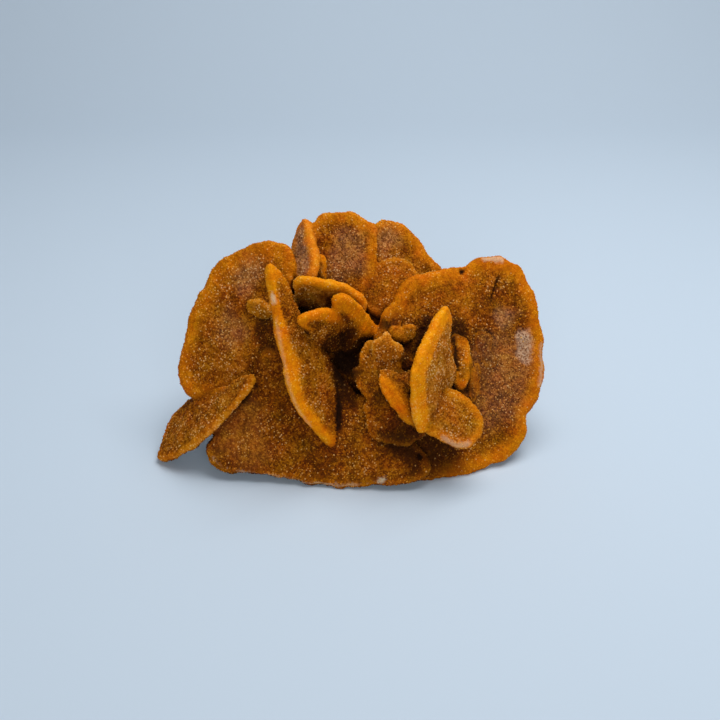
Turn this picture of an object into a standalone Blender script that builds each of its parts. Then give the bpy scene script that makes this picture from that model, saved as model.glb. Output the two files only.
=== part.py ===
# Gypsum sand rose (desert rose): a cluster of lens-shaped gypsum crystals that grew
# through one another in sand. The whole cluster is one stone, so it is one solid.
#
# The stone rests on the floor, z = 0. +X runs to the right along its widest extent,
# +Y runs to the back, +Z is up. Sizes in the tables are millimetres, angles are degrees.

import math

import bmesh
import bpy
from mathutils import Vector

NAME = "sand_rose"
MM = 0.001

# Every crystal is a round-edged lens: RIM thick near its edge and HEART thick in its middle.
# Its edge rounds into a shoulder, and its faces swell from there to the middle.
RIM = 3.0
HEART = 5.0
SHOULDER_INSET = 0.8
SHOULDER_SHARE_OF_RIM = 0.84
SWELL_SHARE_OF_REACH = 0.5
SWELL_SHARE_OF_HEART = 0.92

# A crystal's mesh has this many points round its edge and rows from face to face.
SPOKES = 24
ROWS = 6

# The lump in the middle, from which the crystals spread.
LUMP_AT = (2.0, 8.0, 12.0)
LUMP_RADII = (20.0, 12.0, 18.0)
LUMP_SPOKES = 16
LUMP_ROWS = 10

# The block that takes off everything below z = 0.
FLOOR_BLOCK = 200.0

STONE_COLOUR = (0.29, 0.095, 0.012, 1.0)
STONE_ROUGHNESS = 0.8

# Each crystal lies in a plane through `at` that faces (azimuth, elevation): azimuth 0
# faces the front, 90 the right, and elevation 90 faces up. `reach` holds the distances from
# `at` to the edge, at equal steps anticlockwise as seen facing the crystal. The first one
# points to the crystal's own right-hand side, or `turn` degrees on from it: a long crystal's
# turn points its first reach at its tip.

FRONT_CRYSTALS = {
    "left_fan": dict(
        at=(-29.5, 7, 33.5), facing=(-18, 30), rim=3.2, spokes=28,
        reach=(19, 14.5, 14.5, 14.5, 15, 18.5, 22, 23, 22, 20.5, 19.5, 19, 18, 16, 16, 16,
               17, 17.5, 18.5, 21, 24, 25, 23.5, 22, 21, 20, 19, 18, 18, 18, 18.5, 19)),
    "top_fan": dict(
        at=(-6, 16.5, 47.5), facing=(-4, 32), rim=2.8,
        reach=(10.5, 10.5, 11.5, 12.5, 14, 13, 13.5, 13.5, 13, 13, 13.5, 12, 10.5, 9.5, 9, 9,
               9, 9.5, 10.5, 11.5, 13, 14, 15, 15, 15, 14.5, 14, 13, 12, 11.5, 11, 10.5)),
    "top_right_fan": dict(
        at=(8.5, 18, 44), facing=(10, 32), rim=2.6,
        reach=(13.5, 11.5, 10.5, 10.5, 11, 11.5, 12.5, 13, 14, 13.5, 12.5, 12, 12, 12, 12, 12.5,
               13, 13.5, 14, 14.5, 15, 15.5, 16, 16, 15.5, 15, 14.5, 14, 14, 14, 14.5, 14)),
    "scallop": dict(
        at=(8.5, 13, 41.5), facing=(8, 34), rim=2.4,
        reach=(8.5, 8, 8.5, 8, 7, 6.5, 8, 9, 9, 9, 9, 9)),
    "right_slab": dict(
        at=(27.5, 2.5, 23), facing=(18, 32), rim=3.0, spokes=38,
        reach=(22.5, 23, 24, 24.5, 25, 26.5, 28, 29, 30, 31.5, 31.5, 31.5, 30.5, 29.5, 27.5,
               27, 27, 27, 27, 27.5, 28, 28, 27, 26, 26.5, 26.5, 26, 26, 26, 25.5, 25.5,
               25.5, 25.5, 25.5, 26, 26, 26.5, 27.5, 28.5, 30, 31.5, 33, 32, 30.5, 29.5,
               28.5, 28, 27.5, 27, 26.5, 26.5, 26.5, 26, 25.5, 25, 23, 21.5, 22, 22, 22.5,
               22, 22.5, 22.5, 22.5)),
    "front_slab": dict(
        at=(-11, -9.5, 14.5), facing=(-5, 32), rim=3.0, heart=6.0, spokes=34,
        reach=(21.5, 19.5, 18, 17, 16, 15.5, 13.5, 12.5, 12.5, 12.5, 12.5, 12.5, 12.5, 12.5,
               12.5, 13.5, 16, 17, 18, 19, 20.5, 22, 23, 23.5, 23, 22, 21.5, 21, 21, 21.5,
               22.5, 23.5, 25, 26.5, 28, 30, 30, 29, 26.5, 22.5, 20.5, 19.5, 18.5, 17.5, 17,
               16.5, 16.5, 16.5, 16.5, 16.5, 17, 17.5, 18.5, 19, 20, 21.5, 22.5, 24.5, 27.5,
               30, 32, 30.5, 27, 23.5)),
    "tall_fin": dict(
        at=(-14.5, -9, 32), facing=(48, 23), rim=2.8, heart=4.4, turn=272,
        reach=(24.5, 22, 19.5, 17, 15, 13, 10.5, 9, 8, 7, 7, 6.5, 7, 7.5, 8.5, 10, 12.5,
               19.5, 26, 16.5, 12.5, 10, 8.5, 7.5, 7, 6.5, 6.5, 7, 7, 7.5, 8.5, 9.5, 11, 13,
               15.5, 19)),
    "left_lens": dict(
        at=(-38.5, -8, 15), facing=(-69, 43), rim=2.6, heart=4.5, turn=252,
        reach=(20.5, 15.5, 10.5, 7.5, 6.5, 6, 5.5, 5.5, 5.5, 6.5, 8.5, 11.5,
               17, 14, 9.5, 8.5, 8, 8, 8.5, 9.5, 14, 16.5, 18, 20)),
    "right_spindle": dict(
        at=(18, -12, 30), facing=(58, 4), rim=3.2, heart=6.0, spokes=22, turn=61,
        reach=(17.5, 16, 14, 12.5, 11.5, 11, 10.5, 10.5, 10.5, 10.5, 11, 10.5, 10.5, 10, 10,
               10.5, 10.5, 11.5, 12.5, 13.5, 15.5, 15, 13.5, 12.5, 12, 12, 12.5, 13, 13, 13,
               13, 12, 11.5, 10.5, 10, 10, 10.5, 11, 13, 15.5)),
    "front_disc": dict(
        at=(22, -14, 19), facing=(15, 40), rim=2.6, heart=4.0, spokes=20,
        reach=(8.5, 7.5, 7, 7, 7, 7, 7, 7, 7, 7, 7, 7, 8, 10, 10.5, 10)),
    "inner_leaf": dict(
        at=(11, -11.5, 23.5), facing=(48, 38), rim=2.4, heart=3.8, spokes=20,
        reach=(8.1, 8.5, 8.3, 7.9, 7.2, 6.6, 6.3, 6.6, 7.1, 8.3, 9.1, 8.1, 7.6, 6.6, 5.9,
               5.6, 5.4, 5.3, 5.3, 5.6, 6, 6.6, 7.5, 8.9, 10.6, 10.6, 9.5, 8.9, 8.4, 8, 7.9,
               8)),
    "middle_petal": dict(
        at=(5, -6.5, 27.5), facing=(0, 25), rim=2.6, heart=3.6, spokes=20,
        reach=(6.2, 6.4, 6.7, 7.2, 7.9, 7.9, 7.7, 7.8, 7.8, 7.9, 7.8, 7.2, 6.9, 6.2, 5.8, 6,
               7.1, 7.1, 6.9, 7, 7.3, 7.6, 8.2, 8.8, 8.4, 8.1, 7.4, 7, 6.6, 6.3, 6.3, 6.2)),
    "middle_ear": dict(
        at=(7, -5, 33.5), facing=(0, 25), rim=2.2, heart=3.0, spokes=14,
        reach=(3.9, 3.3, 2.8, 2.4, 2.6, 3.4, 3.9, 3.7, 3.3, 3.5, 3.8, 4.2, 4, 4, 4.1, 3.8,
               3.7, 3.6, 3.4, 3.1, 3.3, 4.3, 4.4, 4.2)),
    "lower_petal": dict(
        at=(8.5, -12.5, 17.5), facing=(-5, 32), rim=2.2, heart=2.6, spokes=18,
        reach=(8.9, 8.6, 8.7, 8.3, 8, 8, 7.7, 7.5, 7.6, 7.5, 7.7, 7.9, 8, 8.1, 8.2, 7.7, 7,
               6.9, 7, 7.3, 7.2, 6.9, 6.8, 6.8, 6.8, 7.2, 7.6, 8.3, 8.7, 9.4, 9.2, 9.2)),
    "upper_shelf": dict(
        at=(-7, 7.5, 37), facing=(-10, -18), rim=2.8, heart=4.2, spokes=20,
        reach=(8, 9, 10, 10.5, 11, 11, 11, 11, 11.5, 12, 13, 14.5, 14, 12, 10.5, 9.5, 8.5,
               8.5, 8.5, 8.5, 9, 9.5, 10.5, 11.5, 12.5, 10.5, 9.5, 9, 8, 8, 7.5, 8)),
    "right_shelf": dict(
        at=(-1, 1.5, 35.5), facing=(28, -14), rim=2.8, heart=4.2, spokes=20,
        reach=(5.5, 5, 4.5, 4.5, 5, 5, 5.5, 6.5, 8, 10.5, 14, 14, 10, 8, 6.5, 6, 5.5, 5, 5,
               5.5, 5.5, 6.5, 8, 9.5, 12, 12.5, 11.5, 10.5, 9.5, 10, 7.5, 6.5)),
    "lower_shelf": dict(
        at=(-9, -5, 40), facing=(38, -16), rim=2.4, heart=3.6, spokes=18,
        reach=(7.5, 6.5, 6, 5, 5, 5, 5.5, 6, 7, 9, 10.5, 7.5, 6, 5, 5, 5, 5, 6, 7.5, 10.5,
               13, 11, 9, 8)),
    "right_scale": dict(
        at=(26, 0.5, 26.5), facing=(24, 30), rim=2.2, heart=3.0, spokes=14,
        reach=(2.9, 3.1, 3.6, 4.8, 6.3, 6.8, 7.3, 6.4, 5.5, 4.4, 3.9, 3.7, 3.5, 3.6, 3.9,
               4.6, 6, 7.8, 6.9, 5.8, 4.5, 3.7, 3.2, 2.9)),
    "outer_scale": dict(
        at=(30, -0.5, 20.5), facing=(20, 31), rim=1.8, heart=2.2, spokes=12,
        reach=(1.6, 1.9, 2.4, 3.8, 5.6, 4.1, 3.1, 2.2, 1.9, 1.8, 1.9, 2.2, 2.8, 4.1, 5.5,
               3.4, 2.4, 1.8, 1.5, 1.5)),
    "slab_scale": dict(
        at=(32.5, 5, 28), facing=(18, 32), rim=1.8, heart=2.2, spokes=12,
        reach=(2.3, 2.6, 3.2, 3.9, 4.5, 4.8, 4.6, 3.9, 3.1, 2.8, 2.7, 2.6, 2.8, 3.4, 4.1,
               5.4, 6.1, 4.9, 2.6, 2.3)),
    "small_ear": dict(
        at=(11, 1.5, 34), facing=(10, 30), rim=2.0, heart=2.6, spokes=12,
        reach=(3.6, 3.9, 3.7, 2.7, 2.2, 2, 2, 2.8, 3.5, 3.7, 3.6, 3.5, 2.9, 2.6, 2.4, 2.4,
               2.5, 2.8, 3.3, 3.4)),
    "lobe_ear": dict(
        at=(8, 5, 36.5), facing=(0, 45), rim=2.2, heart=3.0, spokes=14,
        reach=(3, 3, 3, 2.7, 2.3, 2.2, 2.6, 3, 3.5, 4, 4, 3.5)),
    "fan_ear": dict(
        at=(-25.5, 6, 39), facing=(-14, 24), rim=1.8, heart=2.4, spokes=12,
        reach=(3, 2.2, 1.9, 1.8, 1.9, 2.2, 2.5, 3, 3.6, 4.2, 4, 3.7, 2.7, 2.5, 2.4, 2.5,
               2.8, 3, 3.4, 3.5)),
    "spike": dict(
        at=(-10.5, 13.5, 46), facing=(10, 20), rim=2.2, heart=2.8, spokes=10,
        reach=(1.9, 2, 2.6, 3.9, 4.4, 3.1, 2.2, 1.7, 1.6, 1.8, 2.2, 3.3, 4, 4.3, 2.6, 2.1)),
    "top_ear": dict(
        at=(-14.5, 17.5, 51), facing=(-60, 30), rim=2.8, heart=3.8, spokes=18, turn=129,
        reach=(8.5, 7.5, 5.5, 5, 5, 5, 5, 5, 7.5, 10.5, 11, 8.5, 6, 4.5, 4, 4, 4.5, 6)),
}

BACK_CRYSTALS = {
    "back_left_fan": dict(
        at=(-20, 19, 18), facing=(-158, 28),
        reach=(17, 18, 19, 18, 17, 16, 17, 18, 17, 16, 17, 19, 20, 19, 18, 17)),
    "back_fan": dict(
        at=(3, 24, 18), facing=(176, 24),
        reach=(18, 17, 16, 17, 18, 17, 16, 16, 17, 18, 19, 20, 20, 20, 19, 18)),
    "back_right_fan": dict(
        at=(25, 16, 17), facing=(150, 30),
        reach=(16, 16, 17, 16, 15, 15, 16, 17, 17, 16, 17, 19, 20, 19, 17, 16)),
    "back_fin": dict(
        at=(-8, 24, 25), facing=(100, 12),
        reach=(11, 12, 13, 14, 12, 10, 9, 9, 10, 12, 14, 15, 14, 12, 11, 10)),
    "back_right_fin": dict(
        at=(16, 22, 22), facing=(70, 20), spokes=20,
        reach=(10, 11, 12, 11, 10, 9, 8, 9, 11, 13, 13, 12, 11, 10)),
    "back_shelf": dict(
        at=(4, 24, 32), facing=(170, 62), spokes=20,
        reach=(10, 9, 8, 9, 10, 11, 12, 11, 10, 11, 12, 11, 10, 10)),
    "left_keel": dict(
        at=(-30, 8, 14), facing=(-75, 10), spokes=20,
        reach=(12, 11, 10, 9, 9, 10, 12, 14, 14, 14, 14, 14, 13, 12)),
    "right_keel": dict(
        at=(33, 17, 22), facing=(82, 8), spokes=18,
        reach=(9, 10, 11, 10, 9, 9, 10, 11, 12, 12, 11, 10)),
    "back_petal": dict(
        at=(-14, 23, 35), facing=(-168, 8), rim=2.6, heart=4.0, spokes=18,
        reach=(8, 7.5, 8, 9, 8.5, 7.5, 8, 9, 10, 10, 9, 8)),
    "back_disc": dict(
        at=(12, 29, 13), facing=(168, 44), rim=2.6, heart=4.0, spokes=16,
        reach=(8, 8.5, 8, 7, 7, 8, 8.5, 8, 8, 8, 8, 8)),
    "back_scale": dict(
        at=(-25, 22, 20), facing=(-118, 8), rim=2.4, heart=4.0, spokes=16,
        reach=(6.5, 7, 7.5, 7, 6, 6.5, 7, 6.5, 6, 6, 6, 6)),
}


def reach_at(reach, angle):
    """Distance to the edge at an angle, smoothly between the stated steps."""
    place = angle / math.tau * len(reach)
    step = math.floor(place)
    part = place - step
    before, start, end, after = (reach[(step + k) % len(reach)] for k in (-1, 0, 1, 2))
    lean_in = (end - before) / 2
    lean_out = (after - start) / 2
    bend = 3 * (end - start) - 2 * lean_in - lean_out
    settle = lean_in + lean_out - 2 * (end - start)
    return start + part * (lean_in + part * (bend + part * settle))


def section_at(latitude, reach, rim, heart):
    """Distance from the middle and height off the crystal's plane, for one row of the lens."""
    row = round(abs(latitude) / math.radians(90) * ROWS / 2)
    distances = (reach, reach - SHOULDER_INSET, reach * SWELL_SHARE_OF_REACH, 0.0)
    thicknesses = (0.0, rim * SHOULDER_SHARE_OF_RIM, heart * SWELL_SHARE_OF_HEART, heart)
    return distances[row], math.copysign(thicknesses[row] / 2, latitude)


def crystal_axes(azimuth, elevation):
    """Right, up and outward directions of a crystal's face."""
    azimuth = math.radians(azimuth)
    elevation = math.radians(elevation)
    right = Vector((math.cos(azimuth), math.sin(azimuth), 0.0))
    out = Vector((math.sin(azimuth) * math.cos(elevation),
                  -math.cos(azimuth) * math.cos(elevation),
                  math.sin(elevation)))
    return right, out.cross(right), out


def link_mesh(name, mesh, collection):
    """Makes an object of a bmesh and puts it in a collection."""
    data = bpy.data.meshes.new(name)
    mesh.to_mesh(data)
    mesh.free()
    piece = bpy.data.objects.new(name, data)
    collection.objects.link(piece)
    return piece


def make_crystal(name, collection, at, facing, reach,
                 rim=RIM, heart=HEART, spokes=SPOKES, turn=0.0):
    """One lens-shaped crystal: a sphere pressed flat and drawn out to its edge."""
    right, up, out = crystal_axes(*facing)
    mesh = bmesh.new()
    bmesh.ops.create_uvsphere(mesh, u_segments=spokes, v_segments=ROWS, radius=1.0)
    for vert in mesh.verts:
        angle = math.atan2(vert.co.y, vert.co.x) % math.tau
        latitude = math.asin(max(-1.0, min(1.0, vert.co.z)))
        distance, height = section_at(latitude, reach_at(reach, angle), rim, heart)
        heading = angle + math.radians(turn)
        flat = right * math.cos(heading) + up * math.sin(heading)
        vert.co = (Vector(at) + flat * distance + out * height) * MM
    return link_mesh(name, mesh, collection)


def make_lump(collection):
    """The massive middle of the stone, which all crystals grow into."""
    mesh = bmesh.new()
    bmesh.ops.create_uvsphere(mesh, u_segments=LUMP_SPOKES, v_segments=LUMP_ROWS, radius=1.0)
    for vert in mesh.verts:
        vert.co = Vector(c + s * r for c, s, r in zip(LUMP_AT, vert.co, LUMP_RADII)) * MM
    return link_mesh(NAME, mesh, collection)


def make_floor_cutter(collection):
    """A block whose top face is the floor."""
    mesh = bmesh.new()
    bmesh.ops.create_cube(mesh, size=FLOOR_BLOCK * MM)
    bmesh.ops.translate(mesh, verts=mesh.verts, vec=(0.0, 0.0, -FLOOR_BLOCK * MM / 2))
    return link_mesh("floor", mesh, collection)


def footprint_middle(pieces):
    """Middle of the box round everything above the floor, seen from above."""
    points = [v.co for piece in pieces for v in piece.data.vertices if v.co.z > 0.0]
    lows = [min(p[axis] for p in points) for axis in (0, 1)]
    highs = [max(p[axis] for p in points) for axis in (0, 1)]
    return Vector(((lows[0] + highs[0]) / 2, (lows[1] + highs[1]) / 2, 0.0))


def hide_as_guide(piece):
    piece.hide_render = True
    piece.display_type = "WIRE"


def stone_material():
    """Sand-filled gypsum: orange-brown and dull."""
    material = bpy.data.materials.new("sand_gypsum")
    material.use_nodes = True
    shader = material.node_tree.nodes["Principled BSDF"]
    shader.inputs["Base Color"].default_value = STONE_COLOUR
    shader.inputs["Roughness"].default_value = STONE_ROUGHNESS
    shader.inputs["Metallic"].default_value = 0.0
    return material


def new_collection(name):
    collection = bpy.data.collections.new(name)
    bpy.context.scene.collection.children.link(collection)
    return collection


def build():
    for piece in list(bpy.data.objects):
        bpy.data.objects.remove(piece, do_unlink=True)
    part = new_collection(NAME)
    crystals = new_collection("crystals")
    cutters = new_collection("cutters")

    stone = make_lump(part)
    grown = [make_crystal(name, crystals, **crystal)
             for name, crystal in (FRONT_CRYSTALS | BACK_CRYSTALS).items()]
    middle = footprint_middle(grown)
    for piece in [stone] + grown:
        piece.location = -middle

    floor = make_floor_cutter(cutters)
    for piece in grown + [floor]:
        hide_as_guide(piece)

    join = stone.modifiers.new("join_crystals", "BOOLEAN")
    join.operation = "UNION"
    join.operand_type = "COLLECTION"
    join.collection = crystals
    join.solver = "EXACT"

    cut = stone.modifiers.new("cut_at_floor", "BOOLEAN")
    cut.operation = "DIFFERENCE"
    cut.object = floor
    cut.solver = "EXACT"

    stone.data.materials.append(stone_material())


build()
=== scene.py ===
import math

import bmesh
import bpy
import numpy as np
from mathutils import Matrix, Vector, noise
from mathutils.bvhtree import BVHTree


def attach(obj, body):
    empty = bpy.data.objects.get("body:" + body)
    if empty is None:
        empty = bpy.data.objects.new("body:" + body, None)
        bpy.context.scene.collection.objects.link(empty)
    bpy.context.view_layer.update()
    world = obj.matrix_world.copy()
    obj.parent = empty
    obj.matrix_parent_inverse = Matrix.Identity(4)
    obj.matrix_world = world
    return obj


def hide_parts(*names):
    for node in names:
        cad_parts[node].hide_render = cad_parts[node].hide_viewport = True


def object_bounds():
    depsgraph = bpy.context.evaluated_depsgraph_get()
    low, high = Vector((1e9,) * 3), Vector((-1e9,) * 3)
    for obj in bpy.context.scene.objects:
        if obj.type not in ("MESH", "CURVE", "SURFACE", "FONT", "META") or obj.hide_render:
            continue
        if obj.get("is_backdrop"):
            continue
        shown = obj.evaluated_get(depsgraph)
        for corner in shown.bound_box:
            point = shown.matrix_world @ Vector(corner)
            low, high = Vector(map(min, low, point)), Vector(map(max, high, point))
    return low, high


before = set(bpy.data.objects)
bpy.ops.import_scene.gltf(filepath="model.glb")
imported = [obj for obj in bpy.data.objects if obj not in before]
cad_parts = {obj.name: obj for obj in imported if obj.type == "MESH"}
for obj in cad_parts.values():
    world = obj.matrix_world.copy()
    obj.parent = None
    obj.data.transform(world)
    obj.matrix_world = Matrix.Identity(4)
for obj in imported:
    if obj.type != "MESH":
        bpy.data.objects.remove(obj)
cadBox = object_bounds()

mm = 0.001
nodeName = "sand_rose"

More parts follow.
